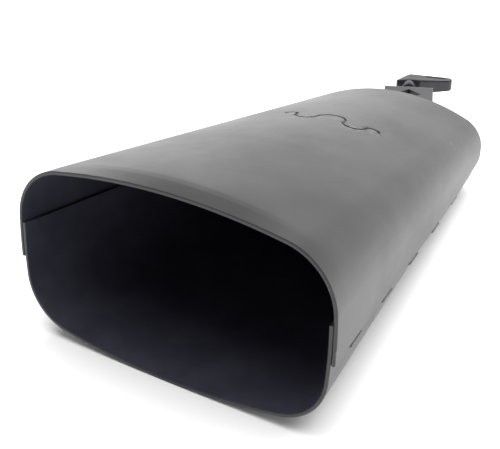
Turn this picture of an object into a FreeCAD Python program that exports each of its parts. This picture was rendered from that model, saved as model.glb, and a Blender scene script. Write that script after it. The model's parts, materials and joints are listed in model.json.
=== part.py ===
import FreeCAD, Part
import math
import os

# Clamp-mounted cowbell: two nested pressed-steel trays welded along their laps,
# and a rod clamp that swivels on a lug behind the closed end (the heel).
# Millimetres.  Bell frame: y runs from the mouth (0) to the heel, z is up from
# the surface the bell lies on, x is to the right seen from the mouth.

V = FreeCAD.Vector
X_AXIS = V(1, 0, 0)
Y_AXIS = V(0, 1, 0)
Z_AXIS = V(0, 0, 1)
ORIGIN = V(0, 0, 0)

# ---- bell body
BODY_LENGTH = 203.2          # eight inches, mouth to heel
SHEET = 1.5
MOUTH_HALF_WIDTH = 65.6
MOUTH_HEIGHT = 74.2
HEEL_HALF_WIDTH = 44.9
HEEL_HEIGHT = 42.4
MOUTH_LEAN = 4.2             # degrees, the top of the mouth stands further back
HEEL_BEND = 2.0              # outside bend radius where the walls turn into the heel
SHEET_ROUNDING = 0.4         # the sheets' deburred cut edges

# Arc radii of the outline: top, side, bottom, upper corner, lower corner
MOUTH_ARCS = (254.0, 182.0, 256.0, 23.2, 22.6)
HEEL_ARCS = (90.0, 111.0, 130.0, 15.0, 17.0)

# ---- striking lip: the top sheet is bent down towards the mouth
LIP_DEPTH = 8.9              # rim to the middle of the bend
LIP_BEND_HALF = 2.0          # half the length of the rounded bend
LIP_RISE = 1.6               # how far the bend stands above the plain taper
LIP_TOP_RADIUS = 184.0       # the bend's own crown, so that it fades at the corners

# ---- laps of the two trays, heights at the mouth and at the heel
UPPER_EDGE = (31.5, 10.7)    # lower edge of the upper (outer) tray
LOWER_EDGE = (45.7, 26.0)    # upper edge of the lower (inner) tray

# ---- plain wave motif pressed into the playing face
MOTIF_Y = 126.0
MOTIF_RADII = (3.0, 5.0, 6.5, 5.0, 3.0)   # half rings, alternately up and down
MOTIF_STROKE = 1.1
MOTIF_DEPTH = 0.35
MOTIF_HALF_BOX = 20.0        # wider than any one half ring

# ---- welds along the laps
TACK_LENGTH = 9.0
TACK_RADIUS = 1.3
TACK_STAND_OFF = 0.5         # bead axis out from the inner tray and below the edge
TACKS_PER_SIDE = 6
TACK_FIRST_Y = 18.0
TACK_LAST_Y = 186.0
TACKS_ON_HEEL = 3

# ---- lug and swivel
PIVOT_BEHIND_HEEL = 12.0
CLAMP_CENTRE_Z = 20.8
CLAMP_TURN = 21.0            # degrees about z, as the clamp stands at rest
LUG_WIDTH = 13.0
LUG_HEIGHT = 14.0
LUG_WELD_LEG = 2.2
LUG_ROUNDING = 0.5
PIN_RADIUS = 3.0
PIN_HEAD_RADIUS = 5.0
PIN_HEAD_HEIGHT = 2.0
RUNNING_GAP = 0.05
WASHER_RADIUS = 6.0
WASHER_THICKNESS = 0.8

# ---- yoke, bent from strip; s is the distance behind the pivot along the clamp
STRIP = 2.5
STRIP_ROUNDING = 0.4         # the strip's sheared edges
YOKE_WIDTH = 25.8
YOKE_HEIGHT = 20.8
YOKE_FAR = 27.8
YOKE_NOSE_CENTRE = 1.9       # centre of the round near end
YOKE_BEND = 3.5              # outside radius of the strip's bends
ROD_HOLE_SIDE = 9.5          # square, stands on its corner
ROD_HOLE_S = 14.6
SCREW_HOLE_RADIUS = 3.4

# ---- clamp screw, nut, shoe
SCREW_RADIUS = 3.0
NUT_ACROSS_FLATS = 10.0
NUT_THICKNESS = 5.0
NUT_WELD_LEG = 1.2
SHOE_RADIUS = 5.0
SHOE_THICKNESS = 3.8
SHOE_BACK_S = 25.1
SHOE_LIP = 1.0
NECK_RADIUS = 1.9
FLANGE_RADIUS = 2.9
FLANGE_THICKNESS = 1.3

# ---- lever handle; plan corners are (to the right, behind the pivot)
COLLAR_NEAR_S = 46.0
COLLAR_RADIUS = 4.1
LEVER_PLAN = ((-8.4, 52.6), (6.0, 52.6), (22.8, 57.0), (22.8, 62.8), (-1.4, 62.8))
LEVER_FRONT = ((-8.4, 3.4), (0.0, 4.3), (22.8, 3.0))   # (to the right, half height)
LEVER_CORNER = 2.4
LEVER_ROUNDING = 1.6
LEVER_BLANK_HALF = 6.0       # half height of the blank the wing is cut from
LEVER_BLANK_DEPTH = 24.0     # from the collar's near end to past the wing
LEVER_RIM_MARGIN = 0.6
SCREW_END_S = 57.0           # the screw's knurled tail inside the moulding

PIVOT = V(0, BODY_LENGTH + PIVOT_BEHIND_HEEL, CLAMP_CENTRE_Z)


def blend(a, b, share):
    return a + (b - a) * share


def corner_centre(side_centre, crown_centre, side_radius, crown_radius, r, up):
    """Centre of the circle of radius r inside both the side and crown circles."""
    gap = crown_centre - side_centre
    dist = gap.Length
    a = side_radius - r
    b = crown_radius - r
    along = (a * a - b * b + dist * dist) / (2 * dist)
    across = math.sqrt(a * a - along * along)
    unit = gap / dist
    foot = side_centre + unit * along
    normal = V(-unit.z, 0, unit.x)
    candidates = [foot + normal * across, foot - normal * across]
    return max(candidates, key=lambda p: p.z * up)


def outline(half_width, low, high, arcs, inset):
    """Closed outline of eight tangent arcs in the xz plane, moved in by inset."""
    top_r, side_r, bottom_r, upper_r, lower_r = arcs
    mid = (low + high) / 2
    side = V(half_width - side_r, 0, mid)
    top = V(0, 0, high - top_r)
    bottom = V(0, 0, low + bottom_r)
    upper = corner_centre(side, top, side_r, top_r, upper_r, 1)
    lower = corner_centre(side, bottom, side_r, bottom_r, lower_r, -1)

    def reach(centre, towards, radius):
        return centre + (towards - centre).normalize() * (radius - inset)

    a = reach(top, upper, top_r)
    b = reach(side, upper, side_r)
    c = reach(side, lower, side_r)
    d = reach(bottom, lower, bottom_r)
    upper_mid = upper + ((a - upper) + (b - upper)).normalize() * (upper_r - inset)
    lower_mid = lower + ((c - lower) + (d - lower)).normalize() * (lower_r - inset)
    side_mid = V(half_width - inset, 0, mid)
    top_mid = V(0, 0, high - inset)
    bottom_mid = V(0, 0, low + inset)

    def left(p):
        return V(-p.x, p.y, p.z)

    arcs_in_order = [
        (left(a), top_mid, a),
        (a, upper_mid, b),
        (b, side_mid, c),
        (c, lower_mid, d),
        (d, bottom_mid, left(d)),
        (left(d), left(lower_mid), left(c)),
        (left(c), left(side_mid), left(b)),
        (left(b), left(upper_mid), left(a)),
    ]
    return Part.Wire([Part.Arc(*three).toShape() for three in arcs_in_order])


def section(y, lean, half_width, high, arcs, inset):
    """One outline set at y.  Its bottom is one sheet below z = 0 before the inset,
    so that the inner tray's underside lies on z = 0."""
    wire = outline(half_width, -SHEET, high, arcs, inset)
    wire.rotate(ORIGIN, X_AXIS, -lean)
    wire.translate(V(0, y, 0))
    return wire


def lip_sections(inset):
    """Outlines through the rounded bend behind the rim."""
    wires = []
    for step in (-1.0, -0.4, 0.4, 1.0):
        depth = LIP_DEPTH + step * LIP_BEND_HALF
        share = depth / BODY_LENGTH
        width = blend(MOUTH_HALF_WIDTH, HEEL_HALF_WIDTH, share)
        plain_top = blend(MOUTH_HEIGHT, HEEL_HEIGHT, share)
        # the two straight flanks of the lip meet above the rounded bend
        if step < 0:
            flank = depth / LIP_DEPTH
        else:
            flank = (BODY_LENGTH - depth) / (BODY_LENGTH - LIP_DEPTH)
        softened = 0.93 if abs(step) < 1.0 else 1.0
        rise = LIP_RISE * flank * softened
        arcs = [blend(m, h, share) for m, h in zip(MOUTH_ARCS, HEEL_ARCS)]
        arcs[0] = blend(arcs[0], LIP_TOP_RADIUS, rise / LIP_RISE)
        wires.append(section(depth, MOUTH_LEAN, width, plain_top + rise, arcs, inset))
    return wires


def bell_solid(inset, heel_inset, bend):
    """The filled bell, moved in by inset, with its heel edge rounded."""
    heel_y = BODY_LENGTH - heel_inset
    wires = [section(0, MOUTH_LEAN, MOUTH_HALF_WIDTH, MOUTH_HEIGHT, MOUTH_ARCS, inset)]
    wires += lip_sections(inset)
    wires.append(section(heel_y, 0, HEEL_HALF_WIDTH, HEEL_HEIGHT, HEEL_ARCS, inset))
    solid = Part.makeLoft(wires, True, True)
    if bend <= 0:
        return solid
    edges = [e for e in solid.Edges if abs(e.CenterOfMass.y - heel_y) < 0.01]
    return solid.makeFillet(bend, edges)


def lap_height(edge, y):
    return blend(edge[0], edge[1], y / BODY_LENGTH)


def half_space(edge, above):
    """Everything above (or below) a lap line, as a large prism."""
    near = -20.0
    far = BODY_LENGTH + 20.0
    end = 120.0 if above else -20.0
    points = [
        V(-100, near, lap_height(edge, near)),
        V(-100, far, lap_height(edge, far)),
        V(-100, far, end),
        V(-100, near, end),
    ]
    return Part.Face(Part.makePolygon(points + points[:1])).extrude(V(200, 0, 0))


def make_motif(outer):
    """Thin solids just under the playing face, in the shape of one wavy stroke."""
    low = HEEL_HEIGHT / 2
    x = -sum(MOTIF_RADII)
    strokes = []
    for i, radius in enumerate(MOTIF_RADII):
        centre = V(x + radius, MOTIF_Y, low)
        ring = Part.makeCylinder(radius + MOTIF_STROKE / 2, MOUTH_HEIGHT, centre)
        ring = ring.cut(Part.makeCylinder(radius - MOTIF_STROKE / 2, MOUTH_HEIGHT, centre))
        side = 0 if i % 2 == 0 else -MOTIF_HALF_BOX
        half = Part.makeBox(
            2 * MOTIF_HALF_BOX, MOTIF_HALF_BOX, 2 * MOUTH_HEIGHT,
            centre + V(-MOTIF_HALF_BOX, side, -1),
        )
        strokes.append(ring.common(half))
        x += 2 * radius
    core = bell_solid(MOTIF_DEPTH, MOTIF_DEPTH, HEEL_BEND - MOTIF_DEPTH)
    return strokes[0].multiFuse(strokes[1:]).common(outer.cut(core))


def round_cut_edges(tray, lap):
    """Round the tray's cut edges: the rim at the mouth and the edge along the lap."""
    lean = math.radians(MOUTH_LEAN)
    rim_normal = V(0, -math.cos(lean), math.sin(lean))

    def on_rim(p):
        return abs(p.dot(rim_normal)) < 0.02

    def on_lap(p):
        return abs(p.z - lap_height(lap, p.y)) < 0.02

    chosen = []
    for edge in tray.Edges:
        points = [v.Point for v in edge.Vertexes] + [edge.CenterOfMass]
        for test in (on_rim, on_lap):
            if edge.Length > SHEET + 0.5 and all(test(p) for p in points):
                chosen.append(edge)
    return tray.makeFillet(SHEET_ROUNDING, chosen)


def make_trays():
    outer = bell_solid(0, 0, HEEL_BEND)
    middle = bell_solid(SHEET, SHEET, HEEL_BEND - SHEET)
    inner = bell_solid(2 * SHEET, 2 * SHEET, 0)
    upper = outer.cut(middle).common(half_space(UPPER_EDGE, True))
    upper = round_cut_edges(upper, UPPER_EDGE).cut(make_motif(outer))
    lower = middle.cut(inner).common(half_space(LOWER_EDGE, False))
    return upper, round_cut_edges(lower, LOWER_EDGE)


def side_point(solid, y, z, sign):
    """Where the side wall of a solid meets the level z at the station y."""
    probe = Part.makeLine(V(0, y, z), V(sign * 100, y, z))
    hit = solid.common(probe)
    return V(sign * max(abs(v.Point.x) for v in hit.Vertexes), y, z)


def capsule(start, end, radius):
    along = end - start
    body = Part.makeCylinder(radius, along.Length, start, along)
    ends = [Part.makeSphere(radius, start), Part.makeSphere(radius, end)]
    return body.multiFuse(ends)


def make_seam_welds(upper, lower):
    """Short weld beads in the step under the upper tray's edge."""
    beads = []
    for sign in (-1, 1):
        for i in range(TACKS_PER_SIDE):
            y = blend(TACK_FIRST_Y, TACK_LAST_Y, i / (TACKS_PER_SIDE - 1))
            ends = []
            for station in (y, y + TACK_LENGTH):
                z = lap_height(UPPER_EDGE, station) - TACK_STAND_OFF
                wall = side_point(lower, station, z, sign)
                ends.append(wall + V(sign * TACK_STAND_OFF, 0, 0))
            beads.append(capsule(ends[0], ends[1], TACK_RADIUS))
    for i in range(TACKS_ON_HEEL):
        x = blend(-24.0, 24.0, i / (TACKS_ON_HEEL - 1))
        z = lap_height(UPPER_EDGE, BODY_LENGTH) - TACK_STAND_OFF
        start = V(x - TACK_LENGTH / 2, BODY_LENGTH - SHEET + TACK_STAND_OFF, z)
        beads.append(capsule(start, start + V(TACK_LENGTH, 0, 0), TACK_RADIUS))
    return Part.makeCompound([bead.cut([upper, lower]) for bead in beads])


def to_clamp(shape):
    """From the clamp's own frame (s along +y, pivot at the origin) to the bell's."""
    placed = shape.copy()
    placed.rotate(ORIGIN, Z_AXIS, CLAMP_TURN)
    placed.translate(PIVOT)
    return placed


def make_lug():
    block = Part.makeBox(LUG_WIDTH, PIVOT_BEHIND_HEEL, LUG_HEIGHT)
    block.translate(V(-LUG_WIDTH / 2, -PIVOT_BEHIND_HEEL, -LUG_HEIGHT / 2))
    end = Part.makeCylinder(LUG_WIDTH / 2, LUG_HEIGHT, V(0, 0, -LUG_HEIGHT / 2))
    bore = Part.makeCylinder(PIN_RADIUS + RUNNING_GAP, LUG_HEIGHT, V(0, 0, -LUG_HEIGHT / 2))
    lug = block.fuse(end).removeSplitter()
    rims = [e for e in lug.Edges if abs(abs(e.CenterOfMass.z) - LUG_HEIGHT / 2) < 0.01]
    free = [e for e in rims if abs(e.CenterOfMass.y + PIVOT_BEHIND_HEEL) > 0.01]
    lug = lug.makeFillet(LUG_ROUNDING, free).cut(bore)
    lug.translate(PIVOT)
    return lug


def make_lug_welds():
    """Fillet welds up both sides of the lug's foot, clear of the yoke's legs."""
    foot = -PIVOT_BEHIND_HEEL
    beads = []
    for sign in (-1, 1):
        x = sign * LUG_WIDTH / 2
        low = -LUG_HEIGHT / 2
        corners = [
            V(x, foot, low),
            V(x + sign * LUG_WELD_LEG, foot, low),
            V(x, foot + LUG_WELD_LEG, low),
        ]
        face = Part.Face(Part.makePolygon(corners + corners[:1]))
        bead = face.extrude(V(0, 0, LUG_HEIGHT))
        bead.translate(PIVOT)
        beads.append(bead)
    return Part.makeCompound(beads)


def make_washers():
    rings = []
    for low in (LUG_HEIGHT / 2, -LUG_HEIGHT / 2 - WASHER_THICKNESS):
        disc = Part.makeCylinder(WASHER_RADIUS, WASHER_THICKNESS, V(0, 0, low))
        hole = Part.makeCylinder(PIN_RADIUS + RUNNING_GAP, WASHER_THICKNESS, V(0, 0, low))
        ring = disc.cut(hole)
        ring.translate(PIVOT)
        rings.append(ring)
    return Part.makeCompound(rings)


def make_pin():
    """Rivet with a domed head on each side of the yoke."""
    half = YOKE_HEIGHT / 2
    shank = Part.makeCylinder(PIN_RADIUS, YOKE_HEIGHT, V(0, 0, -half))
    parts = []
    for sign in (-1, 1):
        face = V(0, 0, sign * half)
        head = Part.makeCylinder(PIN_HEAD_RADIUS, PIN_HEAD_HEIGHT, face, V(0, 0, sign))
        rim = [e for e in head.Edges if abs(e.CenterOfMass.z) > half + PIN_HEAD_HEIGHT - 0.01]
        parts.append(head.makeFillet(PIN_HEAD_HEIGHT * 0.8, rim[:1]))
    return to_clamp(shank.multiFuse(parts))


def yoke_block(inset, near):
    """Filled side profile of the yoke, moved in by inset, its far edges rounded."""
    length = YOKE_FAR - inset - near
    height = YOKE_HEIGHT - 2 * inset
    block = Part.makeBox(YOKE_WIDTH, length, height)
    block.translate(V(-YOKE_WIDTH / 2, near, -height / 2))
    far = [
        e for e in block.Edges
        if abs(e.CenterOfMass.y - (YOKE_FAR - inset)) < 0.01 and abs(e.CenterOfMass.x) < 0.01
    ]
    return block.makeFillet(YOKE_BEND - inset, far)


def side_edge(edge):
    """True on the yoke's long outline: its two sides and its round near end."""
    half = YOKE_WIDTH / 2
    if edge.Length < STRIP + 0.5:
        return False
    for p in [v.Point for v in edge.Vertexes] + [edge.valueAt(edge.FirstParameter + 0.01)]:
        on_side = abs(abs(p.x) - half) < 0.01
        on_nose = abs(math.hypot(p.x, p.y - YOKE_NOSE_CENTRE) - half) < 0.01
        if not (on_side or on_nose):
            return False
    return True


def make_yoke():
    nose = YOKE_WIDTH / 2
    strip = yoke_block(0, YOKE_NOSE_CENTRE - nose).cut(yoke_block(STRIP, -30.0))
    round_end = Part.makeCylinder(nose, 2 * YOKE_HEIGHT, V(0, YOKE_NOSE_CENTRE, -YOKE_HEIGHT))
    straight = Part.makeBox(YOKE_WIDTH, 2 * YOKE_FAR, 2 * YOKE_HEIGHT)
    straight.translate(V(-nose, YOKE_NOSE_CENTRE, -YOKE_HEIGHT))
    yoke = strip.common(round_end.fuse(straight)).removeSplitter()
    sheared = [e for e in yoke.Edges if side_edge(e)]
    yoke = yoke.makeFillet(STRIP_ROUNDING, sheared)
    hole = Part.makeBox(ROD_HOLE_SIDE, ROD_HOLE_SIDE, 2 * YOKE_HEIGHT)
    hole.translate(V(-ROD_HOLE_SIDE / 2, -ROD_HOLE_SIDE / 2, -YOKE_HEIGHT))
    hole.rotate(ORIGIN, Z_AXIS, 45)
    hole.translate(V(0, ROD_HOLE_S, 0))
    pin_hole = Part.makeCylinder(PIN_RADIUS, 2 * YOKE_HEIGHT, V(0, 0, -YOKE_HEIGHT))
    screw_hole = Part.makeCylinder(SCREW_HOLE_RADIUS, 10, V(0, YOKE_FAR - 5, 0), Y_AXIS)
    return to_clamp(yoke.cut(hole).cut(pin_hole).cut(screw_hole))


def make_nut():
    """Hexagon nut with its outer corners turned off."""
    radius = NUT_ACROSS_FLATS / math.sqrt(3)
    corners = []
    for i in range(7):
        angle = math.radians(60 * i)
        corners.append(V(radius * math.cos(angle), YOKE_FAR, radius * math.sin(angle)))
    body = Part.Face(Part.makePolygon(corners)).extrude(V(0, NUT_THICKNESS, 0))
    thread = Part.makeCylinder(SCREW_RADIUS + RUNNING_GAP, NUT_THICKNESS, V(0, YOKE_FAR, 0), Y_AXIS)
    turned = Part.makeCone(
        radius + NUT_THICKNESS * 1.6, radius - 0.5, NUT_THICKNESS, V(0, YOKE_FAR, 0), Y_AXIS
    )
    return body.common(turned).cut(thread)


def make_nut_weld(nut):
    """Ring of weld round the foot of the nut."""
    foot = NUT_ACROSS_FLATS / math.sqrt(3) + NUT_WELD_LEG
    cone = Part.makeCone(foot, foot - NUT_WELD_LEG * 0.9, NUT_WELD_LEG, V(0, YOKE_FAR, 0), Y_AXIS)
    core = Part.makeCylinder(SCREW_RADIUS + 1, NUT_WELD_LEG, V(0, YOKE_FAR, 0), Y_AXIS)
    return cone.cut(core).cut(nut)


def rod_along(radius, start, end):
    """Cylinder on the screw's axis between two distances behind the pivot."""
    return Part.makeCylinder(radius, end - start, V(0, start, 0), Y_AXIS)


def flange_start():
    return SHOE_BACK_S - SHOE_LIP - FLANGE_THICKNESS - RUNNING_GAP


def make_screw():
    shank = rod_along(SCREW_RADIUS, SHOE_BACK_S + RUNNING_GAP, SCREW_END_S)
    neck = rod_along(NECK_RADIUS, flange_start(), SHOE_BACK_S + 1)
    flange = rod_along(FLANGE_RADIUS, flange_start(), flange_start() + FLANGE_THICKNESS)
    return shank.multiFuse([neck, flange])


def make_shoe():
    """Pressure pad crimped over the flange on the screw's tip."""
    face_s = SHOE_BACK_S - SHOE_THICKNESS
    disc = rod_along(SHOE_RADIUS, face_s, SHOE_BACK_S)
    front = [e for e in disc.Edges if abs(e.CenterOfMass.y - face_s) < 0.01]
    disc = disc.makeFillet(0.6, front[:1])
    lip_hole = rod_along(NECK_RADIUS + RUNNING_GAP, SHOE_BACK_S - SHOE_LIP - 0.1, SHOE_BACK_S)
    pocket = rod_along(
        FLANGE_RADIUS + RUNNING_GAP, flange_start() - RUNNING_GAP, SHOE_BACK_S - SHOE_LIP
    )
    return disc.cut(lip_hole.fuse(pocket))


def lever_rims(wing):
    """The edges round the wing's upper and lower faces."""
    rims = []
    for edge in wing.Edges:
        ends = [v.Point.z for v in edge.Vertexes]
        upright = min(ends) < 0 < max(ends)
        if not upright and abs(edge.CenterOfMass.z) > LEVER_FRONT[-1][1] - LEVER_RIM_MARGIN:
            rims.append(edge)
    return rims


def make_handle():
    """Moulded lever: a wing over the screw's tail, drawn out into one arm to the right."""
    plan = [V(u, s, -LEVER_BLANK_HALF) for u, s in LEVER_PLAN]
    wing = Part.Face(Part.makePolygon(plan + plan[:1])).extrude(V(0, 0, 2 * LEVER_BLANK_HALF))
    uprights = [e for e in wing.Edges if abs(e.CenterOfMass.z) < 0.01]
    wing = wing.makeFillet(LEVER_CORNER, uprights)
    upper = [V(u, COLLAR_NEAR_S, half) for u, half in LEVER_FRONT]
    lower = [V(u, COLLAR_NEAR_S, -half) for u, half in reversed(LEVER_FRONT)]
    front = Part.Face(Part.makePolygon(upper + lower + upper[:1]))
    wing = wing.common(front.extrude(V(0, LEVER_BLANK_DEPTH, 0)))
    wing = wing.makeFillet(LEVER_ROUNDING, lever_rims(wing))
    collar = rod_along(COLLAR_RADIUS, COLLAR_NEAR_S, SCREW_END_S)
    return wing.fuse(collar).cut(rod_along(SCREW_RADIUS, COLLAR_NEAR_S, SCREW_END_S))


def build():
    upper, lower = make_trays()
    nut = make_nut()
    return {
        "upper_shell": upper,
        "lower_shell": lower,
        "seam_welds": make_seam_welds(upper, lower),
        "heel_lug": make_lug(),
        "lug_welds": make_lug_welds(),
        "pivot_washers": make_washers(),
        "pivot_pin": make_pin(),
        "clamp_yoke": make_yoke(),
        "screw_nut": to_clamp(nut),
        "nut_weld": to_clamp(make_nut_weld(nut)),
        "rod_shoe": to_clamp(make_shoe()),
        "clamp_screw": to_clamp(make_screw()),
        "lever_handle": to_clamp(make_handle()),
    }


# The row's origin is the middle of the whole length and width, on the surface
# that the bell lies on.
nodes = build()
whole = Part.makeCompound(list(nodes.values())).optimalBoundingBox()
to_origin = V(-whole.Center.x, -whole.Center.y, -whole.ZMin)
os.makedirs("parts", exist_ok=True)
for name, shape in nodes.items():
    shape.translate(to_origin)
    shape.exportStep("parts/" + name + ".step")
    print(name, "solids", len(shape.Solids), "valid", shape.isValid(), "mm3", round(shape.Volume, 1))
pivot = PIVOT + to_origin
print("origin shift", to_origin, "pivot", pivot, "size", whole.XLength, whole.YLength, whole.ZLength)
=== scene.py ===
import json
import math

import bpy
from mathutils import Matrix, Vector


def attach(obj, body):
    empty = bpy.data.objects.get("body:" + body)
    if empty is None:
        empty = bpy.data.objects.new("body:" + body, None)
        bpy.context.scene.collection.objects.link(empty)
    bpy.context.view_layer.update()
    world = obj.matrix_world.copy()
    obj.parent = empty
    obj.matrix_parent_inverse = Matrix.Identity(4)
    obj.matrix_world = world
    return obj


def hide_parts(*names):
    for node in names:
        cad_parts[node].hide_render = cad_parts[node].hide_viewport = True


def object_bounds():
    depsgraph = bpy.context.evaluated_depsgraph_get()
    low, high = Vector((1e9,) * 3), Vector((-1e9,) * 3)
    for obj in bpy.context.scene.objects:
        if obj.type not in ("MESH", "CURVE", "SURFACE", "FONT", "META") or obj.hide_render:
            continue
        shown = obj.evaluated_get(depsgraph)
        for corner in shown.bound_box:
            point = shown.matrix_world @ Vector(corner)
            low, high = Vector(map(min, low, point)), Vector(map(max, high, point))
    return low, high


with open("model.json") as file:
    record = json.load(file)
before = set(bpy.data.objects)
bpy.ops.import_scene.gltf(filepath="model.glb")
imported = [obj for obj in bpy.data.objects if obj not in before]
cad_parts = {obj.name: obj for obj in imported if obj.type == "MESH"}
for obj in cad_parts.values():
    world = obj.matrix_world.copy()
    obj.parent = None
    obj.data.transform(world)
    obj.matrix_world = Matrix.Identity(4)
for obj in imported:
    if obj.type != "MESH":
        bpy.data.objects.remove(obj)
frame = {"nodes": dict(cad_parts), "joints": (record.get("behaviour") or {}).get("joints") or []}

# A cowbell of two nested steel trays under satin black powder coat, with a
# swivelling rod clamp behind its closed end.  Metres.

cad_low, cad_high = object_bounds()

MM = 0.001
CLAMP_TURN = math.radians(21.0)       # how far the clamp stands turned at rest
PIVOT = Vector(frame["joints"][0]["pos_m"])
HEEL_FACE_Y = PIVOT.y - 12.0 * MM
HEEL_SHADE_LINE = (1.7 * MM, 1.2 * MM, 0.25 * MM)      # where the heel's painted shade line starts, is full, ends
MOUTH_AXIS_HEIGHT = 36.0 * MM
HEEL_AXIS_HEIGHT = 19.5 * MM
MERGE_GAP = 1e-6                                  # points nearer than this are one point
CLAMP_PLACE = Matrix.Translation(PIVOT) @ Matrix.Rotation(CLAMP_TURN, 4, "Z")

# Distances behind the pivot along the clamp
SHOE_FLANGE = (22.75 * MM, 24.05 * MM)
SHOE_BACK = 25.1 * MM
THREAD_END = 45.6 * MM
COLLAR_NEAR = 46.0 * MM
LEVER_NEAR = 52.6 * MM
LEVER_FAR = 62.8 * MM
SCREW_END = 57.0 * MM
NECK = (SHOE_FLANGE[0] + 0.2 * MM, SHOE_BACK + 0.5 * MM)
LEAD = (SHOE_BACK + 0.05 * MM, SHOE_BACK + 0.6 * MM)      # plain start of the thread
THREAD_START = SHOE_BACK + 0.4 * MM
TAIL = (THREAD_END - 0.1 * MM, SCREW_END - 0.1 * MM)      # plain end, most of it in the lever

# Screw thread
THREAD_MAJOR = 2.96 * MM
THREAD_MINOR = 2.42 * MM
THREAD_PITCH = 1.0 * MM
HALF_CREST = 0.07 * THREAD_PITCH
HALF_ROOT = 0.05 * THREAD_PITCH
THREAD_SEGMENTS = 36
SPARE_TURNS = 3
NECK_RADIUS = 1.9 * MM
FLANGE_RADIUS = 2.9 * MM
TIP_SIDES = 32
TAIL_CHAMFER = 0.3 * MM

# Lever: where its blank starts and ends to the right, and its half heights there
LEVER_LEFT = -8.4 * MM
LEVER_WAIST = 6.0 * MM
LEVER_RIGHT = 24.1 * MM
LEVER_HALVES = {LEVER_LEFT: 3.4 * MM, 0.0: 4.3 * MM, LEVER_WAIST: 3.96 * MM, LEVER_RIGHT: 3.0 * MM}
LEVER_LEFT_SLANT = 7.0 * MM
LEVER_TIP_SLANT = 4.4 * MM
LEVER_CORNER = 2.4 * MM
LEVER_VOXEL = 0.3 * MM
COLLAR_RADIUS = 4.1 * MM
COLLAR_FAR = LEVER_NEAR + 1.5 * MM      # inside the wing
COLLAR_SIDES = 64
COLLAR_CHAMFER = 0.6 * MM
PANEL_CENTRE = (14.5 * MM, 59.3 * MM)
PANEL_HALF = (5.6 * MM, 1.9 * MM)
PANEL_DEPTH = 0.3 * MM
PANEL_FACE = 2.2 * MM                   # the wing's upper and lower faces lie beyond this height

# Trays: shares of a face's normal, and the angle past which an edge stays sharp
TOWARDS_MOUTH = -0.9
TOWARDS_AXIS = -0.2
TRAY_SHARP = 16.0

# Weld beads
BEAD_VOXEL = 0.22 * MM
SEAM_RIPPLE = 1.1 * MM
FOOT_RIPPLE = 1.2 * MM
RIPPLE_HEIGHT = 0.07 * MM
RIPPLE_CREST = 0.25                     # the bead is raised where the ripple's sine is above this

# Finishes: colour, roughness and wear
BODY_BLACK = ((0.0215, 0.0212, 0.0215, 1.0), 0.36, 0.35)
CLAMP_BLACK = ((0.028, 0.0265, 0.03, 1.0), 0.4, 0.55)

# Camera, in the frame's metres
CAMERA_PLACE = (0.15993, -0.34017, 0.20737)
CAMERA_DOWN = math.radians(29.466)
CAMERA_TURN = math.radians(31.428)
CAMERA_ROLL = math.radians(0.513)
CAMERA_LENS = 65.06
SENSOR_WIDTH = 36.0
CLIP_START = 10.0 * MM

# Light of the white cove: COVE_EDGE is the height over which it dims, and COVE_TURN how far
# round to its bright side it is dimmest and brightest
COVE_EDGE = (0.12, 0.62)
COVE_BRIGHT_SIDE = (-0.62, 0.78, 0.0)
COVE_TURN = (-0.1, 0.9)
COVE_FRONT = 0.4
COVE_BACK = 1.95
COVE_TOP = 0.2
OVERHEAD_PLACE = (0.1, 0.3, 1.6)
OVERHEAD_SIZE = (2.4, 2.4)
OVERHEAD_POWER = 82.0
RIGHT_PANEL_PLACE = (0.9, 0.15, 0.22)
RIGHT_PANEL_TARGET = (0, 0, 0.03)
RIGHT_PANEL_SIZE = (1.2, 0.35)
RIGHT_PANEL_POWER = 1.8
FLOOR_SIZE = 12.0


# ---------------------------------------------------------------- node helpers

def new_material(name):
    material = bpy.data.materials.new(name)
    material.use_nodes = True
    tree = material.node_tree
    shader = tree.nodes["Principled BSDF"]
    return material, tree, shader


def new_group(name, inputs, outputs):
    """An empty shader group with named sockets; returns it with its two end nodes."""
    group = bpy.data.node_groups.new(name, "ShaderNodeTree")
    for label, kind, value in inputs:
        socket = group.interface.new_socket(label, in_out="INPUT", socket_type=kind)
        if value is not None:
            socket.default_value = value
    for label, kind in outputs:
        group.interface.new_socket(label, in_out="OUTPUT", socket_type=kind)
    return group, group.nodes.new("NodeGroupInput"), group.nodes.new("NodeGroupOutput")


def feed(tree, socket, value):
    """Link a socket from another node's, or set it to a plain value."""
    if isinstance(value, bpy.types.NodeSocket):
        tree.links.new(value, socket)
    else:
        socket.default_value = value


def noise(tree, vector, scale, detail, roughness):
    node = tree.nodes.new("ShaderNodeTexNoise")
    node.inputs["Detail"].default_value = detail
    node.inputs["Roughness"].default_value = roughness
    feed(tree, node.inputs["Scale"], scale)
    tree.links.new(vector, node.inputs["Vector"])
    return node.outputs["Fac"]


def math_node(tree, operation, a, b):
    node = tree.nodes.new("ShaderNodeMath")
    node.operation = operation
    feed(tree, node.inputs[0], a)
    feed(tree, node.inputs[1], b)
    return node.outputs["Value"]


def remap(tree, value, low, high, to_low, to_high):
    node = tree.nodes.new("ShaderNodeMapRange")
    node.inputs["From Min"].default_value = low
    node.inputs["From Max"].default_value = high
    feed(tree, node.inputs["To Min"], to_low)
    feed(tree, node.inputs["To Max"], to_high)
    tree.links.new(value, node.inputs["Value"])
    return node.outputs["Result"]


def mix_color(tree, factor, a, b):
    node = tree.nodes.new("ShaderNodeMix")
    node.data_type = "RGBA"
    tree.links.new(factor, node.inputs["Factor"])
    first_colour, second_colour = node.inputs[6:8]
    feed(tree, first_colour, a)
    feed(tree, second_colour, b)
    mixed_colour = node.outputs[2]
    return mixed_colour


def use_group(tree, group, **values):
    node = tree.nodes.new("ShaderNodeGroup")
    node.node_tree = group
    for name, value in values.items():
        node.inputs[name.replace("_", " ")].default_value = value
    return node


# ---------------------------------------------------------------- shared effects

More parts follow.
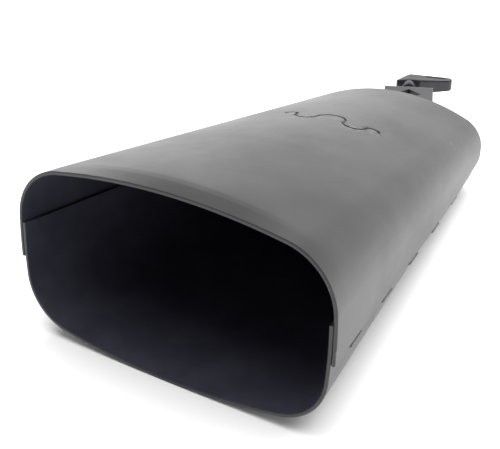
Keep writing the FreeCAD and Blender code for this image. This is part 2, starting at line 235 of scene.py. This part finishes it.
def coat_grain_group():
    """Powder coat's fine orange peel over its slower flow, as one height."""
    group, start, end = new_group(
        "coat_grain",
        [("Vector", "NodeSocketVector", None), ("Grain Size mm", "NodeSocketFloat", 0.35),
         ("Flow Size mm", "NodeSocketFloat", 6.0), ("Flow Share", "NodeSocketFloat", 0.4)],
        [("Height", "NodeSocketFloat"), ("Grain", "NodeSocketFloat")],
    )
    place = start.outputs["Vector"]
    fine_scale = math_node(group, "DIVIDE", 1000.0, start.outputs["Grain Size mm"])
    slow_scale = math_node(group, "DIVIDE", 1000.0, start.outputs["Flow Size mm"])
    fine = noise(group, place, fine_scale, 2.0, 0.55)
    slow = noise(group, place, slow_scale, 2.0, 0.5)
    lift = math_node(group, "MULTIPLY", slow, start.outputs["Flow Share"])
    height = math_node(group, "ADD", fine, lift)
    group.links.new(height, end.inputs["Height"])
    group.links.new(fine, end.inputs["Grain"])
    return group


def dust_group():
    """A few specks of dust and handling smudges, as two masks."""
    group, start, end = new_group(
        "dust_and_smudges",
        [("Vector", "NodeSocketVector", None), ("Speck Spacing mm", "NodeSocketFloat", 14.0),
         ("Speck Radius", "NodeSocketFloat", 0.03), ("Smudge Size mm", "NodeSocketFloat", 40.0)],
        [("Specks", "NodeSocketFloat"), ("Smudges", "NodeSocketFloat")],
    )
    cells = group.nodes.new("ShaderNodeTexVoronoi")
    scale = math_node(group, "DIVIDE", 1000.0, start.outputs["Speck Spacing mm"])
    group.links.new(start.outputs["Vector"], cells.inputs["Vector"])
    group.links.new(scale, cells.inputs["Scale"])
    near = math_node(group, "LESS_THAN", cells.outputs["Distance"], start.outputs["Speck Radius"])
    smudge_scale = math_node(group, "DIVIDE", 1000.0, start.outputs["Smudge Size mm"])
    cloud = noise(group, start.outputs["Vector"], smudge_scale, 4.0, 0.6)
    smudges = remap(group, cloud, 0.42, 0.68, 0.0, 1.0)
    group.links.new(near, end.inputs["Specks"])
    group.links.new(smudges, end.inputs["Smudges"])
    return group


def edge_wear_group():
    """Worn edges: strong on convex edges, broken up by noise."""
    group, start, end = new_group(
        "edge_wear",
        [("Vector", "NodeSocketVector", None), ("Amount", "NodeSocketFloat", 0.5),
         ("Break Size mm", "NodeSocketFloat", 2.5)],
        [("Mask", "NodeSocketFloat")],
    )
    geometry = group.nodes.new("ShaderNodeNewGeometry")
    edge = remap(group, geometry.outputs["Pointiness"], 0.53, 0.62, 0.0, 1.0)
    scale = math_node(group, "DIVIDE", 1000.0, start.outputs["Break Size mm"])
    broken = noise(group, start.outputs["Vector"], scale, 4.0, 0.65)
    patches = remap(group, broken, 0.45, 0.6, 0.0, 1.0)
    worn = math_node(group, "MULTIPLY", edge, patches)
    mask = math_node(group, "MULTIPLY", worn, start.outputs["Amount"])
    group.links.new(mask, end.inputs["Mask"])
    return group


COAT_GRAIN = coat_grain_group()
DUST = dust_group()
EDGE_WEAR = edge_wear_group()


def object_place(tree):
    return tree.nodes.new("ShaderNodeTexCoord").outputs["Object"]


def add_bump(tree, shader, height, distance, strength):
    bump = tree.nodes.new("ShaderNodeBump")
    bump.inputs["Strength"].default_value = strength
    bump.inputs["Distance"].default_value = distance
    tree.links.new(height, bump.inputs["Height"])
    tree.links.new(bump.outputs["Normal"], shader.inputs["Normal"])


# ---------------------------------------------------------------- materials

def heel_bend_shade_mask(tree, place):
    """A narrow line of painted shade where the sheet turns into the heel, standing in for the shading
    of that turn; it is also made fully rough.
    """
    split = tree.nodes.new("ShaderNodeSeparateXYZ")
    tree.links.new(place, split.inputs["Vector"])
    start, full, end = (HEEL_FACE_Y - d for d in HEEL_SHADE_LINE)
    rise = remap(tree, split.outputs["Y"], start, full, 0.0, 1.0)
    fall = remap(tree, split.outputs["Y"], end - 0.1 * MM, end, 1.0, 0.0)
    return math_node(tree, "MULTIPLY", rise, fall)


def powder_coat(name, colour, roughness, wear):
    """Satin black powder coat over steel, with dust, smudges, worn edges and a painted shade line where
    the sheet turns into the heel.
    """
    material, tree, shader = new_material(name)
    place = object_place(tree)
    grain = use_group(tree, COAT_GRAIN, Grain_Size_mm=0.35, Flow_Size_mm=7.0, Flow_Share=0.8)
    dust = use_group(tree, DUST, Speck_Spacing_mm=16.0, Speck_Radius=0.022)
    worn = use_group(tree, EDGE_WEAR, Amount=wear)
    for node in (grain, dust, worn):
        tree.links.new(place, node.inputs["Vector"])
    shade = noise(tree, place, 45.0, 3.0, 0.6)
    lighter = tuple(c * 1.35 for c in colour[:3]) + (1.0,)
    base = mix_color(tree, remap(tree, shade, 0.35, 0.65, 0.0, 1.0), colour, lighter)
    steel = (0.36, 0.35, 0.34, 1.0)
    base = mix_color(tree, worn.outputs["Mask"], base, steel)
    speck = (0.012, 0.012, 0.012, 1.0)
    base = mix_color(tree, dust.outputs["Specks"], base, speck)
    # painted shade: a near-black line where the sheet turns into the heel, standing in for the shading
    # of that turn; it is also made fully rough
    bend_shade = heel_bend_shade_mask(tree, place)
    painted_bend_shade = (0.004, 0.004, 0.006, 1.0)
    base = mix_color(tree, bend_shade, base, painted_bend_shade)
    tree.links.new(base, shader.inputs["Base Color"])
    smooth = remap(tree, dust.outputs["Smudges"], 0.0, 1.0, roughness, roughness + 0.06)
    grainy = remap(tree, grain.outputs["Grain"], 0.3, 0.7, -0.02, 0.02)
    rough = math_node(tree, "ADD", smooth, grainy)
    rough = remap(tree, bend_shade, 0.0, 1.0, rough, 1.0)
    tree.links.new(rough, shader.inputs["Roughness"])
    tree.links.new(worn.outputs["Mask"], shader.inputs["Metallic"])
    add_bump(tree, shader, grain.outputs["Height"], 0.01 * MM, 0.6)
    return material


def inside_coat(name):
    """The thin dull coat inside the bell, where little powder reaches."""
    material, tree, shader = new_material(name)
    place = object_place(tree)
    grain = use_group(tree, COAT_GRAIN, Grain_Size_mm=0.5, Flow_Size_mm=9.0, Flow_Share=0.6)
    tree.links.new(place, grain.inputs["Vector"])
    thin = noise(tree, place, 60.0, 4.0, 0.6)
    bare = (0.03, 0.03, 0.044, 1.0)
    misted = (0.04, 0.04, 0.056, 1.0)
    base = mix_color(tree, remap(tree, thin, 0.4, 0.65, 0.0, 1.0), bare, misted)
    tree.links.new(base, shader.inputs["Base Color"])
    tree.links.new(remap(tree, thin, 0.3, 0.7, 0.7, 0.85), shader.inputs["Roughness"])
    shader.inputs["Specular IOR Level"].default_value = 0.08
    add_bump(tree, shader, grain.outputs["Height"], 0.015 * MM, 0.6)
    return material


def zinc_plate(name):
    """Bright zinc over turned steel, with a fine grain and dull patches."""
    material, tree, shader = new_material(name)
    place = object_place(tree)
    patches = noise(tree, place, 220.0, 4.0, 0.6)
    clear = (0.62, 0.63, 0.64, 1.0)
    dull = (0.46, 0.46, 0.45, 1.0)
    base = mix_color(tree, remap(tree, patches, 0.4, 0.65, 0.0, 1.0), clear, dull)
    tree.links.new(base, shader.inputs["Base Color"])
    tree.links.new(remap(tree, patches, 0.3, 0.7, 0.24, 0.42), shader.inputs["Roughness"])
    shader.inputs["Metallic"].default_value = 1.0
    fine = noise(tree, place, 3000.0, 2.0, 0.5)
    add_bump(tree, shader, fine, 0.006 * MM, 0.5)
    return material


def moulded_plastic(name):
    """Satin black moulding, glossier than the coat, with fine mould texture."""
    material, tree, shader = new_material(name)
    place = object_place(tree)
    grain = use_group(tree, COAT_GRAIN, Grain_Size_mm=0.22, Flow_Size_mm=4.0, Flow_Share=0.5)
    dust = use_group(tree, DUST, Speck_Spacing_mm=9.0, Speck_Radius=0.02, Smudge_Size_mm=9.0)
    for node in (grain, dust):
        tree.links.new(place, node.inputs["Vector"])
    plain = (0.014, 0.014, 0.017, 1.0)
    rubbed = (0.026, 0.026, 0.03, 1.0)
    base = mix_color(tree, dust.outputs["Smudges"], plain, rubbed)
    tree.links.new(base, shader.inputs["Base Color"])
    tree.links.new(remap(tree, dust.outputs["Smudges"], 0.0, 1.0, 0.3, 0.4), shader.inputs["Roughness"])
    add_bump(tree, shader, grain.outputs["Height"], 0.008 * MM, 0.6)
    return material


# ---------------------------------------------------------------- mesh helpers

def deselect_all():
    if bpy.context.object and bpy.context.object.mode != "OBJECT":
        bpy.ops.object.mode_set(mode="OBJECT")
    bpy.ops.object.select_all(action="DESELECT")


def activate(piece):
    deselect_all()
    piece.select_set(True)
    bpy.context.view_layer.objects.active = piece


def select_where(piece, test, kind="VERT"):
    """In edit mode, select what passes the test on its place, and nothing else."""
    bpy.ops.object.mode_set(mode="EDIT")
    bpy.ops.mesh.select_mode(type=kind)
    bpy.ops.mesh.select_all(action="DESELECT")
    bpy.ops.object.mode_set(mode="OBJECT")
    mesh = piece.data
    if kind == "VERT":
        for vertex in mesh.vertices:
            vertex.select = test(vertex.co)
    elif kind == "EDGE":
        for edge in mesh.edges:
            ends = [mesh.vertices[i].co for i in edge.vertices]
            edge.select = test(ends[0], ends[1])
    else:
        for face in mesh.polygons:
            face.select = test(face.center, face.normal)
    bpy.ops.object.mode_set(mode="EDIT")


def edit_all():
    """Enter edit mode with the whole of the active mesh selected, by its vertices."""
    bpy.ops.object.mode_set(mode="EDIT")
    bpy.ops.mesh.select_mode(type="VERT")
    bpy.ops.mesh.select_all(action="SELECT")


def move_where(piece, test, step):
    """Move the vertices that pass the test on their place."""
    select_where(piece, test)
    bpy.ops.transform.translate(value=step)
    bpy.ops.object.mode_set(mode="OBJECT")


def merged_copy(node, name):
    """A copy of a CAD node's mesh under a new name, its loose triangles joined."""
    piece = frame["nodes"][node].copy()
    piece.data = piece.data.copy()
    piece.name = name
    piece.data.name = name
    piece.parent = None
    bpy.context.scene.collection.objects.link(piece)
    piece.matrix_world = Matrix.Identity(4)
    activate(piece)
    edit_all()
    bpy.ops.mesh.remove_doubles(threshold=MERGE_GAP)
    bpy.ops.object.mode_set(mode="OBJECT")
    return piece


def modify(piece, kind, **settings):
    activate(piece)
    modifier = piece.modifiers.new(kind.lower(), kind)
    for name, value in settings.items():
        setattr(modifier, name, value)
    bpy.ops.object.modifier_apply(modifier=modifier.name)


def join(name, pieces):
    activate(pieces[0])
    for piece in pieces:
        piece.select_set(True)
    bpy.ops.object.join()
    whole = bpy.context.object
    whole.name = name
    whole.data.name = name
    return whole


def apply_place(piece):
    activate(piece)
    bpy.ops.object.transform_apply(location=True, rotation=True, scale=True)


def put_on_clamp(piece):
    """From the clamp's own frame to the bell's, leaving the object at the origin."""
    apply_place(piece)
    piece.matrix_world = CLAMP_PLACE
    apply_place(piece)


def smooth(piece, degrees):
    activate(piece)
    bpy.ops.object.shade_smooth_by_angle(angle=math.radians(degrees))


def set_material(piece, material):
    piece.data.materials.clear()
    piece.data.materials.append(material)


def bar_along(radius, start, end, sides=48):
    """A round bar on the screw's axis between two distances behind the pivot."""
    deselect_all()
    bpy.ops.mesh.primitive_cylinder_add(
        vertices=sides, radius=radius, depth=end - start,
        location=(0, (start + end) / 2, 0), rotation=(math.radians(90), 0, 0),
    )
    bar = bpy.context.object
    apply_place(bar)
    return bar


def chamfer_ends(bar, start, end, width, segments=2):
    """Bevel the two end rims of a round bar."""
    def on_end(a, b):
        flat = abs(a.y - b.y) < MERGE_GAP
        at_end = min(abs(a.y - start), abs(a.y - end)) < MERGE_GAP
        return flat and at_end
    select_where(bar, on_end, "EDGE")
    bpy.ops.mesh.bevel(offset=width, segments=segments, affect="EDGES")
    bpy.ops.object.mode_set(mode="OBJECT")


# ---------------------------------------------------------------- screw

def make_thread(start, end):
    """One turn's profile swept up the axis, cut square and closed at both ends."""
    half = THREAD_PITCH / 2
    deselect_all()
    bpy.ops.mesh.primitive_plane_add(size=HALF_ROOT, location=(THREAD_MINOR, 0, -half))
    profile = bpy.context.object
    apply_place(profile)
    edit_all()
    bpy.ops.mesh.merge(type="CENTER")
    rise = half - HALF_ROOT - HALF_CREST
    root_flat = (0, 0, HALF_ROOT)
    crest_flat = (0, 0, 2 * HALF_CREST)
    flank_out = (THREAD_MAJOR - THREAD_MINOR, 0, rise)
    flank_in = (THREAD_MINOR - THREAD_MAJOR, 0, rise)
    for step in (root_flat, flank_out, crest_flat, flank_in, root_flat):
        bpy.ops.mesh.extrude_region_move(TRANSFORM_OT_translate={"value": step})
    bpy.ops.object.mode_set(mode="OBJECT")
    turns = math.ceil((end - start) / THREAD_PITCH) + SPARE_TURNS
    modify(
        profile, "SCREW", axis="Z", screw_offset=THREAD_PITCH, angle=2 * math.pi,
        steps=THREAD_SEGMENTS, render_steps=THREAD_SEGMENTS, iterations=turns,
        use_merge_vertices=True, merge_threshold=MERGE_GAP,
    )
    edit_all()
    bpy.ops.mesh.remove_doubles(threshold=2 * MERGE_GAP)
    low = 1.5 * THREAD_PITCH      # clear of the sweep's unfinished first turn
    for height, normal in ((low, (0, 0, -1)), (low + end - start, (0, 0, 1))):
        bpy.ops.mesh.select_all(action="SELECT")
        bpy.ops.mesh.bisect(
            plane_co=(0, 0, height), plane_no=normal, use_fill=True, clear_outer=True,
            threshold=MERGE_GAP,
        )
    bpy.ops.mesh.select_all(action="SELECT")
    bpy.ops.mesh.normals_make_consistent(inside=False)
    bpy.ops.object.mode_set(mode="OBJECT")
    profile.matrix_world = (
        Matrix.Translation((0, start - low, 0)) @ Matrix.Rotation(math.radians(-90), 4, "X")
    )
    apply_place(profile)
    return profile


def make_screw(material):
    """Threaded screw with its necked, flanged tip and its plain tail in the lever."""
    thread = make_thread(THREAD_START, THREAD_END)
    lead = bar_along(THREAD_MINOR, *LEAD)
    tail = bar_along(THREAD_MAJOR, *TAIL)
    chamfer_ends(tail, *TAIL, TAIL_CHAMFER)
    neck = bar_along(NECK_RADIUS, *NECK, TIP_SIDES)
    flange = bar_along(FLANGE_RADIUS, *SHOE_FLANGE, TIP_SIDES)
    screw = join("threaded_screw", [thread, lead, tail, neck, flange])
    put_on_clamp(screw)
    set_material(screw, material)
    smooth(screw, 40.0)
    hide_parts("clamp_screw")
    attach(screw, "screw")


# ---------------------------------------------------------------- lever

def in_thumb_panel(p):
    """Inside the shallow panels moulded into the lever's upper and lower faces."""
    across = (p.x - PANEL_CENTRE[0]) / PANEL_HALF[0]
    along = (p.y - PANEL_CENTRE[1]) / PANEL_HALF[1]
    return across ** 4 + along ** 4 < 1.0


def make_lever(material):
    """Moulded lever: a wing with rolled edges and thumb panels, on a plain collar."""
    deselect_all()
    bpy.ops.mesh.primitive_cube_add(
        size=1.0,
        location=((LEVER_LEFT + LEVER_RIGHT) / 2, (LEVER_NEAR + LEVER_FAR) / 2, 0),
        scale=(LEVER_RIGHT - LEVER_LEFT, LEVER_FAR - LEVER_NEAR, 2.0),
    )
    wing = bpy.context.object
    apply_place(wing)
    for across in (0.0, LEVER_WAIST):
        edit_all()
        bpy.ops.mesh.bisect(plane_co=(across, 0, 0), plane_no=(1, 0, 0))
        bpy.ops.object.mode_set(mode="OBJECT")
    near = 0.01 * MM
    for across, half in LEVER_HALVES.items():
        select_where(wing, lambda p: abs(p.x - across) < near)
        bpy.ops.transform.resize(value=(1, 1, half), center_override=(across, 0, 0))
        bpy.ops.object.mode_set(mode="OBJECT")
    move_where(
        wing, lambda p: p.x < LEVER_LEFT + near and p.y > LEVER_FAR - near,
        (LEVER_LEFT_SLANT, 0, 0),
    )
    move_where(
        wing, lambda p: p.x > LEVER_RIGHT - near and p.y < LEVER_NEAR + near,
        (0, LEVER_TIP_SLANT, 0),
    )

    def upright_corner(a, b):
        at_end = a.x > LEVER_RIGHT - near or a.x < LEVER_LEFT_SLANT + LEVER_LEFT + near
        return abs(a.x - b.x) < near and abs(a.y - b.y) < near and at_end
    select_where(wing, upright_corner, "EDGE")
    bpy.ops.mesh.bevel(offset=LEVER_CORNER, segments=7, affect="EDGES")
    bpy.ops.object.mode_set(mode="OBJECT")
    modify(wing, "REMESH", mode="VOXEL", voxel_size=LEVER_VOXEL)
    modify(wing, "SMOOTH", iterations=14, factor=0.7)
    for way in (-1, 1):
        move_where(
            wing, lambda p: p.z * way > PANEL_FACE and in_thumb_panel(p),
            (0, 0, -PANEL_DEPTH * way),
        )
    modify(wing, "SMOOTH", iterations=2, factor=0.5)
    collar = bar_along(COLLAR_RADIUS, COLLAR_NEAR, COLLAR_FAR, COLLAR_SIDES)
    chamfer_ends(collar, COLLAR_NEAR, COLLAR_FAR, COLLAR_CHAMFER, 3)
    lever = join("moulded_lever", [wing, collar])
    put_on_clamp(lever)
    set_material(lever, material)
    smooth(lever, 40.0)
    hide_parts("lever_handle")
    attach(lever, "screw")


# ---------------------------------------------------------------- trays

def bell_axis_height(y):
    """Height of the middle of the bell's section at y."""
    share = (y - cad_low[1]) / (PIVOT.y - cad_low[1])
    return MOUTH_AXIS_HEIGHT + (HEEL_AXIS_HEIGHT - MOUTH_AXIS_HEIGHT) * share


def make_tray(node, outside, inside):
    """The node's tray, its triangles joined, with its inner faces in the dull inside coat."""
    tray = merged_copy(node, node.replace("shell", "tray"))
    set_material(tray, outside)
    tray.data.materials.append(inside)

    def faces_in(centre, normal):
        outward = centre - Vector((0, centre.y, bell_axis_height(centre.y)))
        outward.y = 0
        heel_inside = normal.y < TOWARDS_MOUTH and centre.y > 0
        return heel_inside or normal.dot(outward.normalized()) < TOWARDS_AXIS
    select_where(tray, faces_in, "FACE")
    tray.active_material_index = 1
    bpy.ops.object.material_slot_assign()
    bpy.ops.object.mode_set(mode="OBJECT")
    smooth(tray, TRAY_SHARP)
    modify(tray, "WEIGHTED_NORMAL", keep_sharp=True, weight=50)
    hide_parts(node)
    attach(tray, "bell")


# ---------------------------------------------------------------- welds

def make_weld_beads(node, name, body, ripple_axis, pitch, material):
    """The node's plain beads, remeshed fine and rippled like laid weld metal."""
    beads = merged_copy(node, name)
    modify(beads, "REMESH", mode="VOXEL", voxel_size=BEAD_VOXEL)
    modify(beads, "SMOOTH", iterations=4, factor=0.5)
    phase = 2 * math.pi / pitch
    select_where(beads, lambda p: math.sin(p.dot(ripple_axis) * phase) > RIPPLE_CREST)
    bpy.ops.transform.shrink_fatten(value=RIPPLE_HEIGHT)
    bpy.ops.object.mode_set(mode="OBJECT")
    modify(beads, "SMOOTH", iterations=1, factor=0.4)
    set_material(beads, material)
    smooth(beads, 60.0)
    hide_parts(node)
    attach(beads, body)


# ---------------------------------------------------------------- surroundings

def make_floor():
    """A plain white sweep, large enough for every view."""
    material, tree, shader = new_material("white_sweep")
    place = object_place(tree)
    paper = noise(tree, place, 8.0, 3.0, 0.6)
    base = mix_color(tree, paper, (0.86, 0.86, 0.86, 1.0), (0.9, 0.9, 0.9, 1.0))
    tree.links.new(base, shader.inputs["Base Color"])
    shader.inputs["Roughness"].default_value = 0.9
    shader.inputs["Specular IOR Level"].default_value = 0.1
    deselect_all()
    bpy.ops.mesh.primitive_plane_add(size=FLOOR_SIZE, location=(0, 0, 0))
    floor = bpy.context.object
    floor.name = "sweep_floor"
    set_material(floor, material)


def make_world():
    """A white cove: bright low down behind the bell, dim overhead and at the front."""
    world = bpy.data.worlds.new("white_cove")
    bpy.context.scene.world = world
    world.use_nodes = True
    tree = world.node_tree
    back = tree.nodes["Background"]
    coords = tree.nodes.new("ShaderNodeTexCoord")
    split = tree.nodes.new("ShaderNodeSeparateXYZ")
    tree.links.new(coords.outputs["Generated"], split.inputs["Vector"])
    height = remap(tree, split.outputs["Z"], *COVE_EDGE, 1.0, 0.0)
    toward = tree.nodes.new("ShaderNodeVectorMath")
    toward.operation = "DOT_PRODUCT"
    toward.inputs[1].default_value = COVE_BRIGHT_SIDE
    tree.links.new(coords.outputs["Generated"], toward.inputs[0])
    behind = remap(tree, toward.outputs["Value"], *COVE_TURN, COVE_FRONT, COVE_BACK)
    low_light = math_node(tree, "MULTIPLY", height, behind)
    total = math_node(tree, "ADD", low_light, COVE_TOP)
    back.inputs["Color"].default_value = (1.0, 1.0, 1.0, 1.0)
    tree.links.new(total, back.inputs["Strength"])


def add_softbox(name, place, target, size, power, seen_in_gloss):
    light = bpy.data.lights.new(name, "AREA")
    light.shape = "RECTANGLE"
    light.size, light.size_y = size
    light.energy = power
    box = bpy.data.objects.new(name, light)
    bpy.context.scene.collection.objects.link(box)
    box.location = place
    box.rotation_euler = (Vector(target) - Vector(place)).to_track_quat("-Z", "Y").to_euler()
    box.visible_camera = False
    box.visible_glossy = seen_in_gloss


def make_camera():
    data = bpy.data.cameras.new("camera")
    data.sensor_width = SENSOR_WIDTH
    data.lens = CAMERA_LENS
    data.clip_start = CLIP_START
    camera = bpy.data.objects.new("camera", data)
    bpy.context.scene.collection.objects.link(camera)
    camera.location = CAMERA_PLACE
    camera.rotation_euler = (math.radians(90) - CAMERA_DOWN, CAMERA_ROLL, CAMERA_TURN)
    bpy.context.scene.camera = camera


def dress_frame():
    """Give every CAD node that stays in view its finish, and return the finishes."""
    coat = powder_coat("satin_black_coat", *BODY_BLACK)
    clamp_coat = powder_coat("clamp_black_coat", *CLAMP_BLACK)
    zinc = zinc_plate("zinc_plate")
    finishes = {
        "heel_lug": coat,
        "clamp_yoke": clamp_coat, "pivot_pin": clamp_coat, "screw_nut": clamp_coat,
        "pivot_washers": zinc, "rod_shoe": zinc,
    }
    for node, material in finishes.items():
        for slot in frame["nodes"][node].material_slots:
            slot.material = material
    return coat, clamp_coat, zinc


make_camera()
make_world()
make_floor()
add_softbox("overhead", OVERHEAD_PLACE, (0, 0, 0), OVERHEAD_SIZE, OVERHEAD_POWER, False)
add_softbox(
    "right_panel", RIGHT_PANEL_PLACE, RIGHT_PANEL_TARGET, RIGHT_PANEL_SIZE, RIGHT_PANEL_POWER, True
)
coat, clamp_coat, zinc = dress_frame()
dull_coat = inside_coat("dull_inside_coat")
make_weld_beads("seam_welds", "seam_beads", "bell", Vector((0, 1, 0)), SEAM_RIPPLE, coat)
make_weld_beads("lug_welds", "lug_beads", "bell", Vector((0, 0, 1)), FOOT_RIPPLE, coat)
make_weld_beads("nut_weld", "nut_bead", "clamp", Vector((0, 0, 1)), FOOT_RIPPLE, clamp_coat)
make_tray("upper_shell", coat, dull_coat)
make_tray("lower_shell", coat, dull_coat)
make_screw(zinc)
make_lever(moulded_plastic("moulded_black"))
bpy.context.scene.view_settings.view_transform = "Standard"
